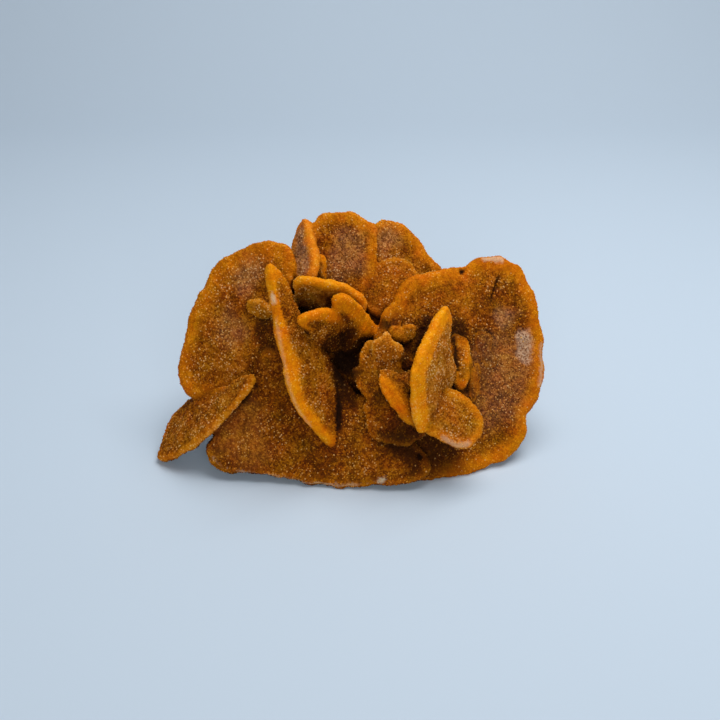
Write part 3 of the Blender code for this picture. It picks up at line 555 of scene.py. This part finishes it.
def openness(data, points, normals):  # share of the sky over each point that is free
    faces = [tuple(p.vertices) for p in data.polygons]
    tree = BVHTree.FromPolygons([tuple(p) for p in points], faces)
    directions = evenDirections(stoneColourAndShade["rays"])
    helper = np.where(np.abs(normals[:, 2:]) < 0.9, (0.0, 0.0, 1.0), (1.0, 0.0, 0.0))
    side = np.cross(normals, helper)
    side /= np.linalg.norm(side, axis=1)[:, None]
    other = np.cross(normals, side)
    free = np.zeros(len(points))
    starts = [Vector(p) for p in points + normals * stoneColourAndShade["rayStart"]]
    for x, y, z in directions:
        rays = side * x + other * y + normals * z
        for index, (start, ray) in enumerate(zip(starts, rays)):
            if (ray[2] > stoneColourAndShade["lowestRay"]
                    and tree.ray_cast(start, ray, stoneColourAndShade["rayLength"])[0] is None):
                free[index] += 1
    return free / len(directions)


points = meshVectors(joined, "co")
normals = meshVectors(joined, "normal")
owner, golden, paleEdge, second = nearestCrystals(points)
table = list(crystals.values())
golden = np.maximum(golden, nearMark(points, "gold"))
goldenShare = np.clip(golden, 0, 1)
tone = np.array([c["tone"] for c in table])[owner] + paleEdge
frost = np.maximum(np.array([c["frost"] for c in table])[owner], nearMark(points, "frost"))
frost *= 1 - goldenShare
chip = nearMark(points, "chip")
pit = nearMark(points, "pit")
crease = np.exp(-second / stoneColourAndShade["creaseWidth"])
# painted shade: places that see little sky, the shade marks, pits and the creases between crystals are
# painted darker
freeSky = openness(joined, points, normals)
paintedOcclusionShade = ((1 - smoothStep(*stoneColourAndShade["enclosed"], freeSky))
          * (1 - stoneColourAndShade["goldenStaysLight"] * goldenShare))
paintedShade = (np.maximum.reduce((paintedOcclusionShade, nearMark(points, "paintedShade"), pit))
        + stoneColourAndShade["creaseShade"] * crease)
paintedShade = np.clip(paintedShade, 0, stoneColourAndShade["deepestShade"])
print("surface described")

push = np.zeros(len(points))
for count, (length, height) in enumerate(stoneBody["waves"]):
    push += fieldNoise(points, length, stoneBody["waveSeed"] * (count + 1)) * 2 * height
large = smoothStep(*stoneBody["dishReach"], np.array([max(c["reach"]) for c in table])[owner])
push -= stoneBody["dish"] * (1 - goldenShare) * large
push *= (1.0 - stoneBody["calmCreases"] * crease) * (1 - stoneBody["calmRims"] * goldenShare)
push -= stoneBody["pitDepth"] * pit
points = points + normals * push[:, None]
points[:, 2] = np.where(points[:, 2] < stoneBody["floorSnap"], 0.0, points[:, 2])
points = (points - middle) * mm
joined.vertices.foreach_set("co", points.ravel())
joined.update()
# the colour values kept on the stone, the painted shade among them
surface = dict(rimShare=golden, paintedShade=paintedShade, tone=tone, frost=frost, chip=chip)
for name, values in surface.items():
    setAttribute(joined, name, values)
joined.shade_smooth()
print("stone shaped")

# grains of sand on the stone
sandGrains = dict(
    meshes=4,             # the grains are kept in this many pieces
    spacing=0.66,         # mm between grains
    tries=700000,         # random places that the spacing then thins out
    size=(0.4, 0.74),     # mm across, a little coarser than dune sand so that they show
    stretch=(0.75, 1.2),  # how much shorter or longer a grain is one way
    proud=(0.22, 0.13),   # mm that a grain stands proud, on a face and on a rim
    sunk=0.42,            # share of its size that would stand proud if it weren't sunk in
    lowest=0.15,          # mm above the floor, nothing grows below it
    floorGap=0.02,        # mm that a grain's own corners keep off the floor
    clusters=5.0,         # mm, where pale grains lie together
    clusterSeed=2.2,
    clusterContrast=1.1,
    darkGrains=1.6,       # above 1 there are more dark grains than pale ones
    shade=(0.62, 0.7),    # how pale a grain can be, and how much more in a cluster
    glints=0.015,         # share of the grains that are clear quartz: smoother, and painted paler as a painted glint
    seed=23,
)
cellShift, cellsAcross = 1000, 4000  # give each cell of the spacing a number of its own


def scatterGrains(data, rng):  # points spread over a mesh, no two in one cell of the spacing
    triangles = meshTriangles(data)
    places = meshVectors(data, "co") / mm
    a, b, c = (places[triangles[:, k]] for k in range(3))
    across = np.cross(b - a, c - a)
    areas = np.linalg.norm(across, axis=1) / 2
    pick = rng.choice(len(areas), size=sandGrains["tries"], p=areas / areas.sum())
    u, v = rng.random((2, sandGrains["tries"]))
    u, v = np.where(u + v > 1, 1 - u, u), np.where(u + v > 1, 1 - v, v)
    spots = a[pick] + (b - a)[pick] * u[:, None] + (c - a)[pick] * v[:, None]
    cells = np.floor(spots / sandGrains["spacing"]).astype(np.int64) + cellShift
    code = (cells[:, 0] * cellsAcross + cells[:, 1]) * cellsAcross + cells[:, 2]
    _, keep = np.unique(code, return_index=True)
    keep = keep[spots[keep, 2] > sandGrains["lowest"]]
    out = across[pick[keep]] / np.linalg.norm(across[pick[keep]], axis=1)[:, None]
    return spots[keep], out, triangles[pick[keep], 0]


def grainShape():
    mesh = bmesh.new()
    bmesh.ops.create_uvsphere(mesh, u_segments=4, v_segments=2, radius=0.5)
    corners = np.array([v.co for v in mesh.verts])
    faces = np.array([[v.index for v in f.verts] for f in mesh.faces])
    mesh.free()
    return corners, faces


def randomTurns(count, rng):
    q = rng.normal(size=(count, 4))
    w, x, y, z = (q / np.linalg.norm(q, axis=1)[:, None]).T
    return np.stack((1 - 2 * (y * y + z * z), 2 * (x * y - z * w), 2 * (x * z + y * w),
                     2 * (x * y + z * w), 1 - 2 * (x * x + z * z), 2 * (y * z - x * w),
                     2 * (x * z - y * w), 2 * (y * z + x * w), 1 - 2 * (x * x + y * y)),
                    axis=1).reshape(-1, 3, 3)


def grainMesh(places, faces, values):  # many copies of one shape in one mesh
    count, cornerCount = places.shape[:2]
    faceCount, sides = faces.shape
    data = bpy.data.meshes.new("grains")
    data.vertices.add(count * cornerCount)
    data.vertices.foreach_set("co", (places * mm).ravel())
    data.loops.add(count * faceCount * sides)
    data.loops.foreach_set("vertex_index", (faces[None] + np.arange(count)[:, None, None]
                                            * cornerCount).ravel().astype(np.int32))
    data.polygons.add(count * faceCount)
    data.polygons.foreach_set("loop_start",
                              np.arange(count * faceCount, dtype=np.int32) * sides)
    data.update(calc_edges=True)
    for name, own in values.items():
        setAttribute(data, name, np.repeat(own, cornerCount))
    return data


rng = np.random.default_rng(sandGrains["seed"])
spots, outward, under = scatterGrains(joined, rng)
count = len(spots)
corners, faces = grainShape()
sizes = rng.uniform(*sandGrains["size"], count)
stretch = rng.uniform(*sandGrains["stretch"], (count, 1, 3))
onFace, onRim = sandGrains["proud"]
proud = onFace + (onRim - onFace) * goldenShare[under]
centres = spots + outward * (proud - sizes * sandGrains["sunk"])[:, None]
shapes = (corners[None] * stretch) @ randomTurns(count, rng) * sizes[:, None, None]
places = centres[:, None] + shapes
places[:, :, 2] = np.maximum(places[:, :, 2], sandGrains["floorGap"])
clusters = np.clip(0.5 + sandGrains["clusterContrast"]
                   * fieldNoise(spots, sandGrains["clusters"], sandGrains["clusterSeed"]), 0, 1)
palest, palerInClusters = sandGrains["shade"]
# the grains take the same values, the painted shade among them
grainValues = {name: values[under] for name, values in surface.items()}
grainValues["shade"] = (rng.random(count) ** sandGrains["darkGrains"]
                        * (palest + palerInClusters * clusters))
grainValues["glint"] = (rng.random(count) < sandGrains["glints"]) * (1 - paintedShade[under])
shuffled = rng.permutation(count)
grains = []
for number in range(sandGrains["meshes"]):
    chosen = shuffled[number::sandGrains["meshes"]]
    data = grainMesh(places[chosen], faces,
                     {name: values[chosen] for name, values in grainValues.items()})
    piece = bpy.data.objects.new("sand_grains_%d" % (number + 1), data)
    bpy.context.scene.collection.objects.link(piece)
    grains.append(piece)
print(count, "grains")

# the stone's own mesh is thinned once the grains lie on it
thinned = applyModifier(rose, "DECIMATE", ratio=stoneBody["triangles"] / len(meshTriangles(joined)))
thinned.shade_smooth()
print("stone thinned to", len(thinned.polygons), "faces")


# materials
mixShare, mixBelow, mixAbove, mixResult = 0, 6, 7, 2  # sockets of a colour Mix node


def linear(hexColour):
    parts = [int(hexColour[i:i + 2], 16) / 255 for i in (1, 3, 5)]
    return tuple(p / 12.92 if p <= 0.04045 else ((p + 0.055) / 1.055) ** 2.4 for p in parts) + (1.0,)


def addNode(tree, kind, settings=None, links=None):
    node = tree.nodes.new(kind)
    for key, value in (settings or {}).items():
        if isinstance(key, int) or key in node.inputs.keys():
            node.inputs[key].default_value = value
        else:
            setattr(node, key, value)
    for key, source in (links or {}).items():
        tree.links.new(source, node.inputs[key])
    return node


def setRamp(node, stops):
    ramp = node.color_ramp
    while len(ramp.elements) > 1:
        ramp.elements.remove(ramp.elements[-1])
    ramp.elements[0].position, ramp.elements[0].color = stops[0][0], linear(stops[0][1])
    for place, colour in stops[1:]:
        ramp.elements.new(place).color = linear(colour)


sandGypsum = dict(
    grainWidth=0.5,       # mm, dune sand
    patchWidth=7.0,       # mm, where the sand is darker or lighter
    clumpWidth=1.7,       # mm, small clumps of darker grains
    stainWidth=4.0,       # mm, where iron has stained it redder or yellower
    patches=(0.7, -0.54),  # how strong the patches are, and where the shade starts from
    clumps=0.6,
    grains=0.8,           # how far the shade of a grain sways
    ground=0.35,          # the same for the stone between the grains
    shadeLowers=-0.35,     # how much the painted shade also lowers the grain shade
    stain=(0.04, 0.48),   # how far the hue sways, and where it starts from
    frostGrains=(1.3, 0.35),  # worn grains show palest
    face=((0.0, "#582700"), (0.2, "#7c3e00"), (0.45, "#aa6205"), (0.75, "#c9832e"),
          (1.0, "#d7a263")),
    rim=((0.0, "#c46600"), (0.45, "#e08000"), (0.8, "#ef960c"), (1.0, "#f6ac40")),
    frost="#c9a688",
    chip="#efe2c0",
    glintColour="#d8a05a",
    # the colour that the painted shade darkens towards
    paintedShadeColour="#170700",
    ior=1.52,             # gypsum
    roughness=0.75,       # dull with sand
    glintSmoother=-0.3,
    specular=0.06,        # dust takes nearly all of its shine
    bumpStrength=0.4, bumpHeight=0.12,  # mm
)


def makeSandGypsum(name, ownGrains):
    # selenite that grew through iron-stained dune sand: dull, grainy, with small glints
    material = bpy.data.materials.new(name)
    material.use_nodes = True
    tree = material.node_tree
    tree.nodes.clear()
    place = addNode(tree, "ShaderNodeTexCoord").outputs["Object"]
    if ownGrains:
        grainShade, glint = (
            addNode(tree, "ShaderNodeAttribute", {"attribute_name": n}).outputs["Fac"]
            for n in ("shade", "glint"))
    else:
        grain = addNode(tree, "ShaderNodeTexVoronoi",
                        {"Scale": 1 / (sandGypsum["grainWidth"] * mm)}, {"Vector": place})
        grainShade = addNode(tree, "ShaderNodeSeparateColor", {},
                             {"Color": grain.outputs["Color"]}).outputs["Red"]
    patches = addNode(tree, "ShaderNodeTexNoise",
                      {"Scale": 1 / (sandGypsum["patchWidth"] * mm), "Detail": 4.0,
                       "Roughness": 0.6}, {"Vector": place})
    clumps = addNode(tree, "ShaderNodeTexNoise",
                     {"Scale": 1 / (sandGypsum["clumpWidth"] * mm), "Detail": 2.0,
                      "Roughness": 0.7}, {"Vector": place})
    stains = addNode(tree, "ShaderNodeTexNoise",
                     {"Scale": 1 / (sandGypsum["stainWidth"] * mm), "Detail": 3.0},
                     {"Vector": place})
    rim, paintedShade, tone, frost, chip = (
        addNode(tree, "ShaderNodeAttribute", {"attribute_name": n}).outputs["Fac"]
        for n in ("rimShare", "paintedShade", "tone", "frost", "chip"))
    # grain shade, moved up and down by the patches, clumps and the crystal's own tone, and down by the
    # painted shade
    strength, start = sandGypsum["patches"]
    shade = addNode(tree, "ShaderNodeMath", {"operation": "MULTIPLY_ADD", 1: strength, 2: start},
                    {0: patches.outputs["Fac"]})
    for source, strength in ((clumps.outputs["Fac"], sandGypsum["clumps"]),
                             (grainShade, sandGypsum["grains" if ownGrains else "ground"]),
                             (tone, 1.0), (paintedShade, sandGypsum["shadeLowers"])):
        shade = addNode(tree, "ShaderNodeMath", {"operation": "MULTIPLY_ADD", 1: strength},
                        {0: source, 2: shade.outputs[0]})
    face = addNode(tree, "ShaderNodeValToRGB", {}, {"Fac": shade.outputs[0]})
    setRamp(face, sandGypsum["face"])
    edge = addNode(tree, "ShaderNodeValToRGB", {}, {"Fac": shade.outputs[0]})
    setRamp(edge, sandGypsum["rim"])
    plain = addNode(tree, "ShaderNodeMix", {"data_type": "RGBA"},
                    {mixShare: rim, mixBelow: face.outputs["Color"],
                     mixAbove: edge.outputs["Color"]})
    sway, start = sandGypsum["stain"]
    hue = addNode(tree, "ShaderNodeMath", {"operation": "MULTIPLY_ADD", 1: sway, 2: start},
                  {0: stains.outputs["Fac"]})
    colour = addNode(tree, "ShaderNodeHueSaturation", {},
                     {"Hue": hue.outputs[0], "Color": plain.outputs[mixResult]}).outputs["Color"]
    more, start = sandGypsum["frostGrains"]
    grainFrost = addNode(tree, "ShaderNodeMath", {"operation": "MULTIPLY_ADD", 1: more, 2: start},
                         {0: grainShade})
    frost = addNode(tree, "ShaderNodeMath", {"operation": "MULTIPLY"},
                    {0: frost, 1: grainFrost.outputs[0]}).outputs[0]
    # then frost, chips and painted shade are mixed in, and on the grains the glints' pale colour, partly
    # a painted glint
    layers = [(frost, "frost"), (chip, "chip"), (paintedShade, "paintedShadeColour")]
    if ownGrains:
        layers.append((glint, "glintColour"))
    for share, paint in layers:
        colour = addNode(tree, "ShaderNodeMix",
                         {"data_type": "RGBA", mixAbove: linear(sandGypsum[paint])},
                         {mixShare: share, mixBelow: colour}).outputs[mixResult]
    shader = addNode(tree, "ShaderNodeBsdfPrincipled",
                     {"IOR": sandGypsum["ior"], "Roughness": sandGypsum["roughness"],
                      "Specular IOR Level": sandGypsum["specular"]}, {"Base Color": colour})
    if ownGrains:
        dull = addNode(tree, "ShaderNodeMath",
                       {"operation": "MULTIPLY_ADD", 1: sandGypsum["glintSmoother"],
                        2: sandGypsum["roughness"]}, {0: glint})
        tree.links.new(dull.outputs[0], shader.inputs["Roughness"])
    else:
        bump = addNode(tree, "ShaderNodeBump",
                       {"Strength": sandGypsum["bumpStrength"],
                        "Distance": sandGypsum["bumpHeight"] * mm, "invert": True},
                       {"Height": grain.outputs["Distance"]})
        tree.links.new(bump.outputs[0], shader.inputs["Normal"])
    addNode(tree, "ShaderNodeOutputMaterial", {}, {"Surface": shader.outputs[0]})
    return material


thinned.materials.append(makeSandGypsum("sand_filled_gypsum", False))
grainMaterial = makeSandGypsum("dune_sand_grains", True)
for piece in grains:
    piece.data.materials.append(grainMaterial)
for piece in [rose] + grains:
    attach(piece, "root")
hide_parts(nodeName)
print("stone finished")

# floor, light and camera
studio = dict(
    sweepWidth=3.0, floorDepth=1.2, bend=0.25, bendAt=0.25, bendSteps=24, wall=0.8,  # metres
    paperColour="#c8d6e3", paperRoughness=0.95, paperSpecular=0.1,
    worldColour="#e6eef7", worldStrength=0.21,
    lights=dict(softbox=((0.1, 0.05, 0.46), 0.35, 1.85),       # place, size, power
                front_fill=((0.06, -0.9, 0.36), 0.6, 3.6)),
    lightsAim=(0, 0, 0.02),
    aim=(0.0, 0.0, 27.0),      # mm, the point in the middle of the view, from the table's zero
    distance=0.312, elevation=30.0, lens=60.0, sensor=36.0, clipStart=0.01,
)


def makeSweep():  # flat under the stone, then curving up behind it
    sweep = bmesh.new()
    left, back = -studio["sweepWidth"] / 2, studio["bendAt"] + studio["bend"]
    line = [sweep.verts.new((left, -studio["floorDepth"], 0.0)),
            sweep.verts.new((left, studio["bendAt"], 0.0))]
    for step in range(1, studio["bendSteps"] + 1):
        turn = math.radians(90) * step / studio["bendSteps"]
        line.append(sweep.verts.new((left, studio["bendAt"] + studio["bend"] * math.sin(turn),
                                     studio["bend"] * (1 - math.cos(turn)))))
    line.append(sweep.verts.new((left, back, studio["wall"])))
    edges = [sweep.edges.new(pair) for pair in zip(line, line[1:])]
    grown = bmesh.ops.extrude_edge_only(sweep, edges=edges)
    bmesh.ops.translate(sweep, vec=(studio["sweepWidth"], 0, 0),
                        verts=[g for g in grown["geom"] if isinstance(g, bmesh.types.BMVert)])
    bmesh.ops.recalc_face_normals(sweep, faces=sweep.faces)
    if min(sweep.faces, key=lambda f: f.calc_center_median().z).normal.z < 0:
        bmesh.ops.reverse_faces(sweep, faces=sweep.faces)
    return sweep


paper = bpy.data.materials.new("matt_paper")  # soaks up light, with hardly any shine
paper.use_nodes = True
paperShader = paper.node_tree.nodes["Principled BSDF"]
paperShader.inputs["Base Color"].default_value = linear(studio["paperColour"])
paperShader.inputs["Roughness"].default_value = studio["paperRoughness"]
paperShader.inputs["Specular IOR Level"].default_value = studio["paperSpecular"]
floor = meshObject("paper_sweep", makeSweep(), paper)
floor.data.shade_smooth()
floor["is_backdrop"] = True

world = bpy.data.worlds.new("studio")
bpy.context.scene.world = world
world.use_nodes = True
sky = world.node_tree.nodes["Background"]
sky.inputs["Color"].default_value = linear(studio["worldColour"])
sky.inputs["Strength"].default_value = studio["worldStrength"]

for name, (place, size, power) in studio["lights"].items():
    lamp = bpy.data.objects.new(name, bpy.data.lights.new(name, "AREA"))
    lamp.data.energy = power
    lamp.data.size = size
    lamp.location = place
    lamp.rotation_mode = "QUATERNION"
    lamp.rotation_quaternion = (Vector(studio["lightsAim"]) - lamp.location).to_track_quat("-Z", "Y")
    bpy.context.scene.collection.objects.link(lamp)

camera = bpy.data.objects.new("camera", bpy.data.cameras.new("camera"))
bpy.context.scene.collection.objects.link(camera)
camera.data.lens = studio["lens"]
camera.data.sensor_width = studio["sensor"]
camera.data.clip_start = studio["clipStart"]
tilt = math.radians(studio["elevation"])
away = Vector((0.0, math.cos(tilt), -math.sin(tilt)))
camera.location = (Vector(studio["aim"]) - Vector(middle)) * mm - away * studio["distance"]
camera.rotation_euler = (math.pi / 2 - tilt, 0.0, 0.0)
bpy.context.scene.camera = camera
bpy.context.scene.view_settings.view_transform = "Standard"

sizes = dict(cad=[list(corner) for corner in cadBox], visual=[list(corner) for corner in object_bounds()])
print("scene ready")
